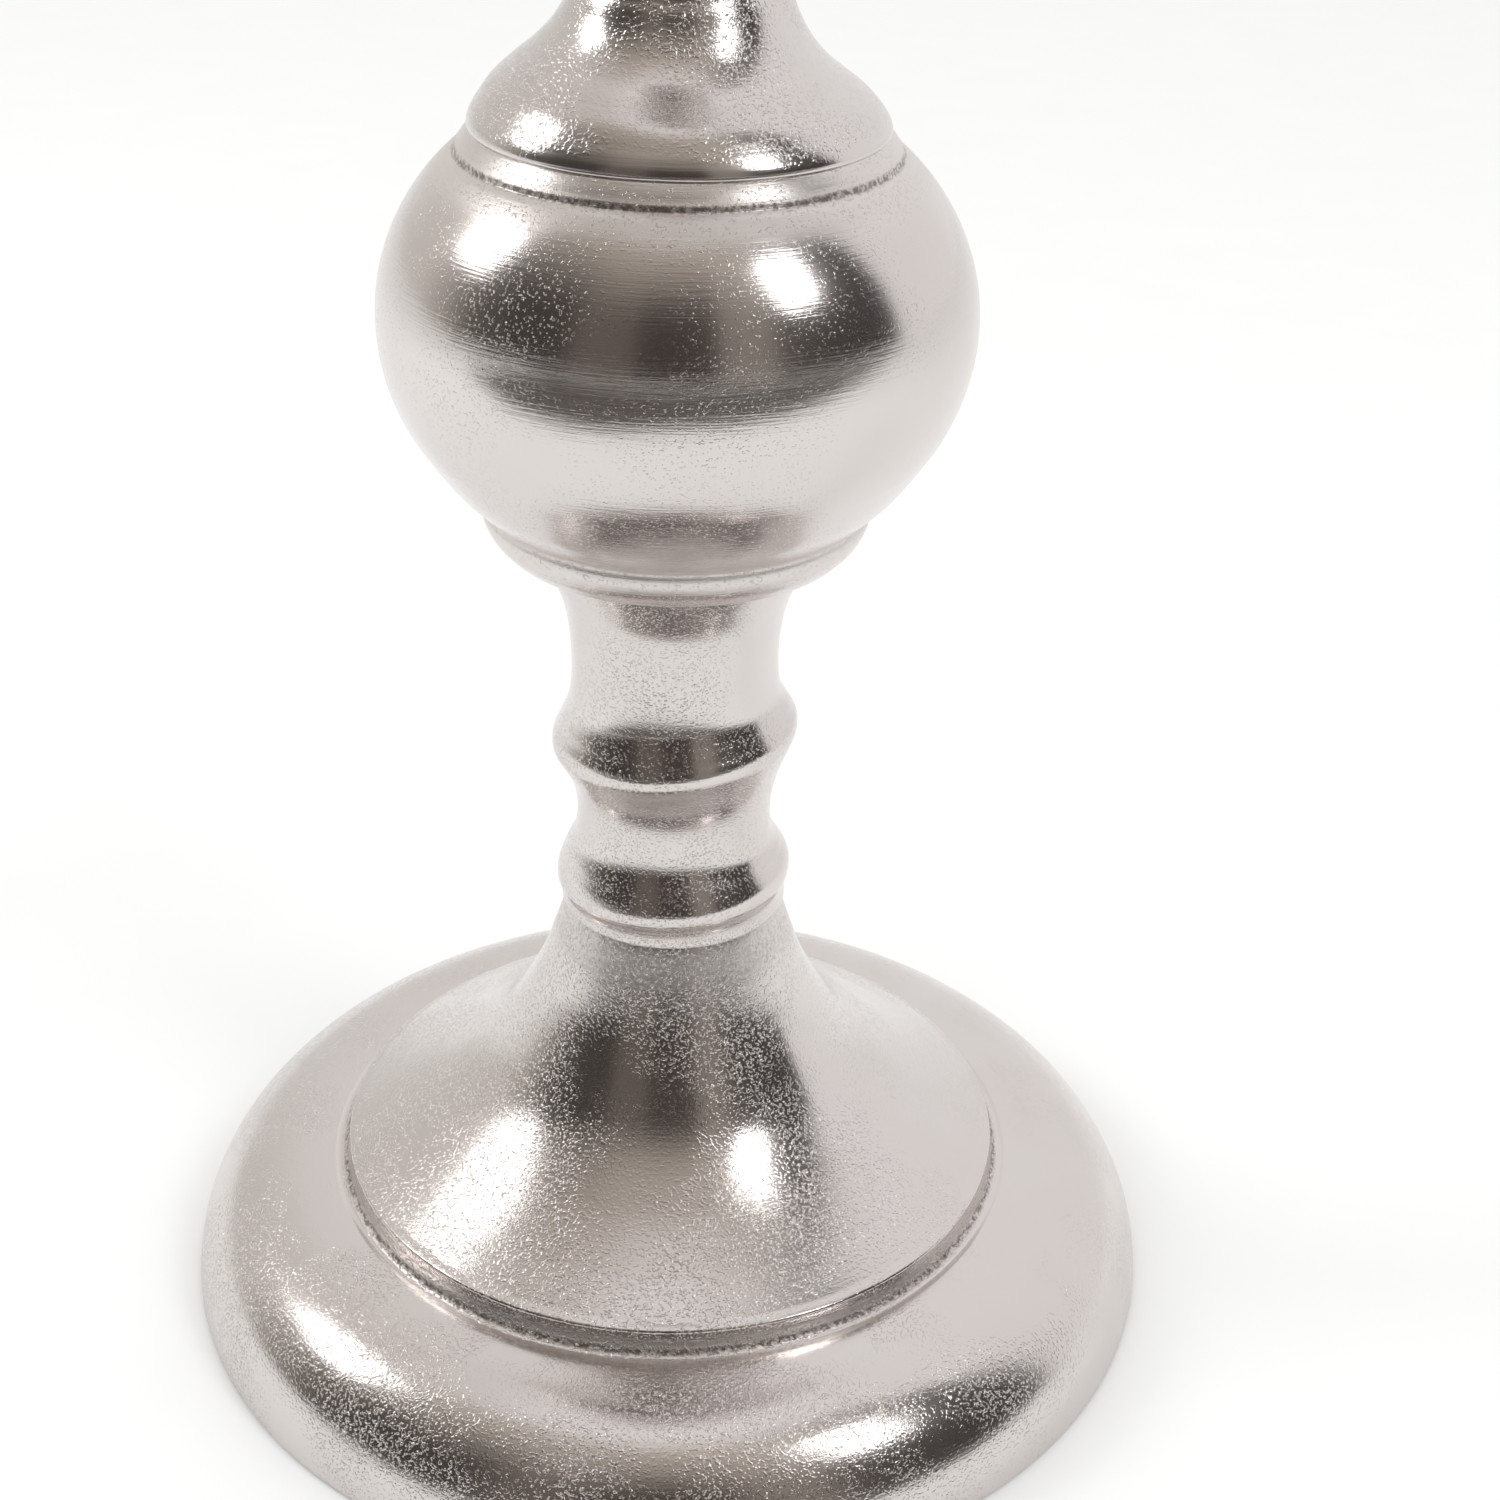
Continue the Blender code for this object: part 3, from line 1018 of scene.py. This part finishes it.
@dataclass
class UpperNeck:
    """The two smaller beads that repeat the lower neck's under the capital."""

    height: float = 51.7
    waist: float = 15.4
    bead: float = 18.4

    def build(self) -> None:
        """Builds the casting."""
        top = top_of("upper_neck_casting")
        outer = smooth(
            [
                (16.0, top),
                (16.4, top - 0.5),
                (self.waist, top - 6.0),
                (15.6, top - 11.5),
                (self.bead, top - 16.4),
                (17.8, top - 20.8),
                (self.waist - 0.1, top - 26.5),
                (self.waist, top - 32.0),
                (self.bead, top - 37.4),
                (17.9, top - 41.8),
                (16.4, top - 47.0),
                (16.8, top - self.height + 0.5),
                (16.2, top - self.height),
            ]
        )
        core = [(8.0, top - 46.0), (11.0, top - 41.0), (11.0, top - 10.0), (10.0, top - 7.0)]
        TurnedPiece(
            "upper_neck",
            "upper_neck_casting",
            ROUGH_CASTING,
            Seats(9.7, 6.0, 10.0).close(outer, core),
            hollows=[Hollow(15.4, top - 30.0, 5.0, 0.3), Hollow(16.4, top - 50.0, 4.0, 0.5)],
            waviness=Waviness(depth=0.12, length=14.0, seed=23.0),
        ).build()


@dataclass
class Capital:
    """The flared cup under the drip pan, bored out from above."""

    height: float = 47.7
    recess_radius: float = 14.0
    recess_depth: float = 28.0

    def build(self) -> None:
        """Builds the casting."""
        top = top_of("capital_casting")
        lip = smooth(
            [(37.6, top), (39.2, top - 0.4), (39.9, top - 1.6), (39.9, top - 3.4)], steps=4
        )
        flare = smooth(
            [
                (39.0, top - 6.4),
                (35.4, top - 12.0),
                (28.8, top - 18.0),
                (22.0, top - 25.0),
                (17.8, top - 34.0),
                (17.4, top - 41.0),
                (16.7, top - self.height + 0.4),
                (16.1, top - self.height),
            ]
        )
        core = [(self.recess_radius, top - self.recess_depth), (self.recess_radius, top - 3.0)]
        TurnedPiece(
            "capital",
            "capital_casting",
            ROUGH_CASTING,
            Seats(9.7, 6.0, self.recess_radius).close(lip + flare, core),
            hollows=[Hollow(17.6, top - 37.0, 8.0, 0.4)],
            waviness=Waviness(depth=0.12, length=18.0, seed=29.0),
        ).build()


@dataclass
class DripPan:
    """The loose dished pan with a sleeve that centres it in the capital."""

    floor_radius: float = 46.0
    wall: float = 2.6
    side_radius: float = 26.0
    depth: float = 15.0
    rim_round: float = 1.9
    sleeve_radius: float = 13.5
    sleeve_length: float = 6.3
    hole_radius: float = 9.2

    def build(self) -> None:
        """Builds the pan on its own body."""
        under_z = low_of("drip_pan") + self.sleeve_length
        floor_z = under_z + self.wall
        centre = (self.floor_radius, floor_z + self.side_radius)
        level = self.side_radius - self.depth + self.wall
        rise = math.degrees(math.acos(level / self.side_radius))
        under = arc(centre, self.side_radius + self.wall, rise - 90.0, -90.0, 20)
        rim = arc((under[0][0] - 0.6, under[0][1] + 1.2), self.rim_round, 160.0, -40.0, 14)
        inside = arc(centre, self.side_radius, -90.0, rise - 90.0, 20)
        sleeve = [
            (self.sleeve_radius, under_z),
            (self.sleeve_radius, low_of("drip_pan")),
            (self.hole_radius, low_of("drip_pan")),
            (self.hole_radius, floor_z - 0.4),
            (self.hole_radius + 0.4, floor_z),
        ]
        TurnedPiece(
            "pan",
            "drip_pan",
            ROUGH_CASTING,
            rim + under[1:] + sleeve + inside[:-1],
            body="pan",
            hollows=[
                Hollow(self.floor_radius, floor_z, 12.0, 0.35),
                Hollow(self.hole_radius, floor_z, 5.0, 0.5),
            ],
            waviness=Waviness(depth=0.10, length=26.0, seed=31.0),
        ).build()


@dataclass
class Pricket:
    """The spike that holds the candle, turned from bar with a round boss at its foot."""

    boss_radius: float = 8.4
    boss_height: float = 27.3
    bore: float = 5.2

    def build(self) -> None:
        """Builds the spike."""
        low, tip = low_of("pricket_spike"), top_of("pricket_spike")
        boss_top = low + self.boss_height
        bore_top = top_of("tie_rod") + 0.3
        outline = [(0.0, tip)] + smooth(
            [
                (0.35, tip - 0.5),
                (0.75, tip - 3.0),
                (3.4, tip - 46.0),
                (4.3, boss_top + 5.0),
                (5.4, boss_top + 2.4),
                (6.6, boss_top + 1.4),
                (self.boss_radius - 0.3, boss_top),
                (self.boss_radius, boss_top - 1.2),
            ],
            steps=6,
        )
        foot = [(self.boss_radius, low + 0.5), (self.boss_radius - 0.5, low), (self.bore, low)]
        TurnedPiece(
            "spike",
            "pricket_spike",
            SPIKE_PLATE,
            outline + foot + [(self.bore, bore_top), (0.0, bore_top)],
            slot="nickelled_steel",
            segments=SPIKE_SEGMENTS,
            edge=Edge.CRISP,
        ).build()


@dataclass
class InnerWorks:
    """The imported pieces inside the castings, which keep their shapes and are only dressed."""

    plated: Sequence[str] = (
        "tie_rod",
        "rod_nut_top",
        "rod_nut_bottom",
        "rod_washer_top",
        "rod_washer_bottom",
        "rod_lock_washer",
        "board_screw_1",
        "board_screw_2",
        "board_screw_3",
    )

    def build(self, nodes: Mapping[str, bpy.types.Object]) -> None:
        """Dresses the inner pieces.

        Args:
            nodes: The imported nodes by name.
        """
        finishes = dict.fromkeys(self.plated, ZINC_PLATE)
        finishes |= {"ballast_plate": IRON_PAINT, "base_board": FIBRE}
        for name, finish in finishes.items():
            mesh = nodes[name].data
            mesh.materials.clear()
            mesh.materials.append(finish.material())
            log.info("%s: dressed with %s", name, finish.name)


# ---- studio


@dataclass
class Softbox:
    """A soft studio lamp, placed by its bearing from the candlestick."""

    name: str
    bearing: float
    distance: float
    height: float
    width: float
    length: float
    power: float
    aim_height: float = 0.13

    def build(self) -> None:
        """Hangs the lamp so that it faces the candlestick."""
        turn = math.radians(self.bearing)
        away = Vector((math.sin(turn), -math.cos(turn))) * self.distance
        place = Vector((away.x, away.y, self.height))
        lamp = bpy.data.lights.new(self.name, "AREA")
        lamp.shape = "RECTANGLE"
        lamp.size = self.width
        lamp.size_y = self.length
        lamp.energy = self.power
        holder = linked(self.name, lamp)
        holder.location = place
        aim = Vector((0.0, 0.0, self.aim_height)) - place
        holder.rotation_euler = aim.to_track_quat("-Z", "Y").to_euler()
        holder.visible_camera = False


WHITE = (1.0, 1.0, 1.0, 1.0)
PAPER_TONES = (colour("F3F3F2"), colour("F6F6F5"))
DARK_FLOOR = colour("4A423C")
# What a glossy ray sees, by its bearing in degrees: 0 is towards the camera, and 90 to the right.
WALLS = (
    (-180, "F6F4F3"),
    (-158, "ECEAE7"),
    (-135, "DDDAD6"),
    (-114, "D6D2CC"),
    (-98, "A8A39C"),
    (-84, "5E5852"),
    (-66, "403A36"),
    (-44, "3E3835"),
    (-38, "6A625C"),
    (-18, "665E58"),
    (-14, "403936"),
    (14, "443C39"),
    (19, "918A82"),
    (35, "8E877F"),
    (40, "504A46"),
    (60, "413B39"),
    (88, "3A3534"),
    (91, "F8F6F6"),
    (180, "FCFBFB"),
)
HIGH_WALLS = (
    (-180, "F2F0EE"),
    (-100, "DEDAD6"),
    (-70, "BFB7AD"),
    (60, "C3BBB2"),
    (95, "F6F5F5"),
    (180, "F6F5F5"),
)
# How high above the horizon one gives way to the next, in degrees.
WALLS_END = (26.0, 72.0)
CEILING = (64.0, 80.0)
CEILING_COLOUR = colour("FCFBFB")
# The walls reach higher to the right of these bearings.
TALLER_FROM = (36.0, 66.0)
TALLER_BY = 18.0
# The dim floor past the table's front edge, in metres.
FLOOR_CORNERS = (
    (3.0, -0.25),
    (0.85, -0.49),
    (0.0, -0.51),
    (-0.5, -0.28),
    (-1.3, -0.2),
    (-3.0, -3.0),
    (3.0, -3.0),
)
FLOOR_HEIGHT = 0.0005


@dataclass
class Studio:
    """A white table in a white-walled corner of a dim room, two softboxes, and the camera."""

    table_reach: float = 6.0
    lens: float = 57.6
    sensor: float = 36.0
    camera_back: float = 0.40807
    camera_height: float = 0.34395
    pitch: float = 28.974
    yaw: float = 2.061
    roll: float = 1.501

    def table(self) -> None:
        """Lays the pale table top, and the dark floor of the room past its front edge."""
        reach = self.table_reach
        corners = [(-reach, -reach), (reach, -reach), (reach, reach), (-reach, reach)]
        paper, tree, shader = new_material("white_paper")
        fibres = add_node(tree, "ShaderNodeTexNoise", {"Scale": 300.0, "Detail": 2.0})
        tone = mixed(tree, fibres.outputs["Fac"], *PAPER_TONES)
        feed(shader, {"Base Color": tone, "Roughness": 0.9, "Specular IOR Level": 0.1})
        self._flat("table_top", corners, 0.0, paper)
        dark_floor, _, shader = new_material("dark_room_floor")
        feed(shader, {"Base Color": DARK_FLOOR, "Roughness": 1.0})
        floor = self._flat("room_floor", FLOOR_CORNERS, FLOOR_HEIGHT, dark_floor)
        for ray in ("camera", "diffuse", "shadow", "transmission", "volume_scatter"):
            setattr(floor, "visible_" + ray, False)

    def _flat(
        self, name: str, corners: Sequence[Point], height: float, material: bpy.types.Material
    ) -> bpy.types.Object:
        """Makes a flat stage piece.

        Args:
            name: The piece's name.
            corners: Its corners, in metres.
            height: Its height.
            material: What covers it.

        Returns:
            The piece.
        """
        mesh = bpy.data.meshes.new(name)
        mesh.from_pydata([(x, y, height) for x, y in corners], [], [tuple(range(len(corners)))])
        if mesh.polygons[0].normal.z < 0:
            mesh.flip_normals()
        mesh.materials.append(material)
        piece = linked(name, mesh)
        return piece

    def lamps(self) -> None:
        """Hangs the two softboxes."""
        left = {"bearing": -96.0, "distance": 1.05, "height": 0.91}
        right = {"bearing": 51.0, "distance": 0.90, "height": 0.98}
        Softbox("softbox_left", **left, width=0.34, length=0.42, power=3.0).build()
        Softbox("softbox_right", **right, width=0.24, length=0.44, power=2.4).build()

    def room(self) -> None:
        """Sets the surroundings: white to the eye and the table, a dim room in reflections."""
        world = bpy.data.worlds.new("studio_room")
        world.use_nodes = True
        bpy.context.scene.world = world
        tree = world.node_tree
        tree.nodes.clear()
        way = add_node(tree, "ShaderNodeTexCoord").outputs["Generated"]
        east, north, up = add_node(tree, "ShaderNodeSeparateXYZ", {0: way}).outputs
        bearing = calculated(tree, "ARCTAN2", east, calculated(tree, "MULTIPLY", north, -1.0))
        lift = calculated(tree, "ARCSINE", up)
        share = spread(tree, bearing, -math.pi, math.pi, 0.0, 1.0)
        seen = self._ramp(tree, share, WALLS)
        taller = risen(tree, bearing, *TALLER_FROM, math.radians(TALLER_BY), soft=False)
        above = calculated(tree, "SUBTRACT", lift, taller)
        climb = risen(tree, above, *WALLS_END, 1.0, soft=True)
        seen = mixed(tree, climb, seen, self._ramp(tree, share, HIGH_WALLS))
        overhead = risen(tree, lift, *CEILING, 1.0, soft=True)
        seen = mixed(tree, overhead, seen, CEILING_COLOUR)
        glossy = add_node(tree, "ShaderNodeLightPath").outputs["Is Glossy Ray"]
        shown = mixed(tree, glossy, WHITE, seen)
        light = add_node(tree, "ShaderNodeBackground", {"Color": shown, "Strength": 1.0})
        add_node(tree, "ShaderNodeOutputWorld", {"Surface": light.outputs[0]})

    def _ramp(self, tree: Tree, share: Input, stops: Sequence[tuple[float, str]]) -> Input:
        """The colours seen going once round the room.

        Args:
            tree: The world's node tree.
            share: The bearing, from 0 at -180 degrees to 1 at 180.
            stops: Bearings in degrees and the colour seen there.

        Returns:
            The colour seen at the bearing.
        """
        node = add_node(tree, "ShaderNodeValToRGB", {0: share})
        elements = node.color_ramp.elements
        elements.remove(elements[1])
        elements[0].position = 0.0
        elements[0].color = colour(stops[0][1])
        for bearing, hex_code in stops[1:]:
            elements.new((bearing + 180.0) / 360.0).color = colour(hex_code)
        return node.outputs[0]

    def camera(self) -> None:
        """Places the camera: above the knop, looking down at the foot and turned slightly."""
        lens = bpy.data.cameras.new("camera")
        lens.lens = self.lens
        lens.sensor_width = self.sensor
        lens.clip_start = 0.01
        holder = linked("camera", lens)
        pitch, yaw, roll = (math.radians(a) for a in (self.pitch, self.yaw, self.roll))
        ahead = Vector(
            (math.sin(yaw) * math.cos(pitch), math.cos(yaw) * math.cos(pitch), -math.sin(pitch))
        )
        level = Vector((math.cos(yaw), -math.sin(yaw), 0.0))
        upward = level.cross(ahead)
        across = level * math.cos(roll) + upward * math.sin(roll)
        overhead = upward * math.cos(roll) - level * math.sin(roll)
        turn = Matrix((across, overhead, -ahead)).transposed()
        place = Matrix.Translation((0.0, -self.camera_back, self.camera_height))
        holder.matrix_world = place @ turn.to_4x4()
        bpy.context.scene.camera = holder

    def build(self) -> None:
        """Builds the studio."""
        self.table()
        self.lamps()
        self.room()
        self.camera()
        bpy.context.scene.view_settings.view_transform = "Standard"
        log.info("studio: table, two softboxes, room and camera")


# ---- main


def main() -> None:
    """Builds the candlestick's looks and its studio."""
    logging.basicConfig(level=logging.INFO, format="%(message)s")
    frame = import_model()
    castings = (Foot(), LowerNeck(), Knop(), Stem(), UpperNeck(), Capital())
    for part in (*castings, DripPan(), Pricket()):
        part.build()
        log.info("%s built", type(part).__name__)
    InnerWorks().build(frame["nodes"])
    Studio().build()


if __name__ == "__main__":
    main()
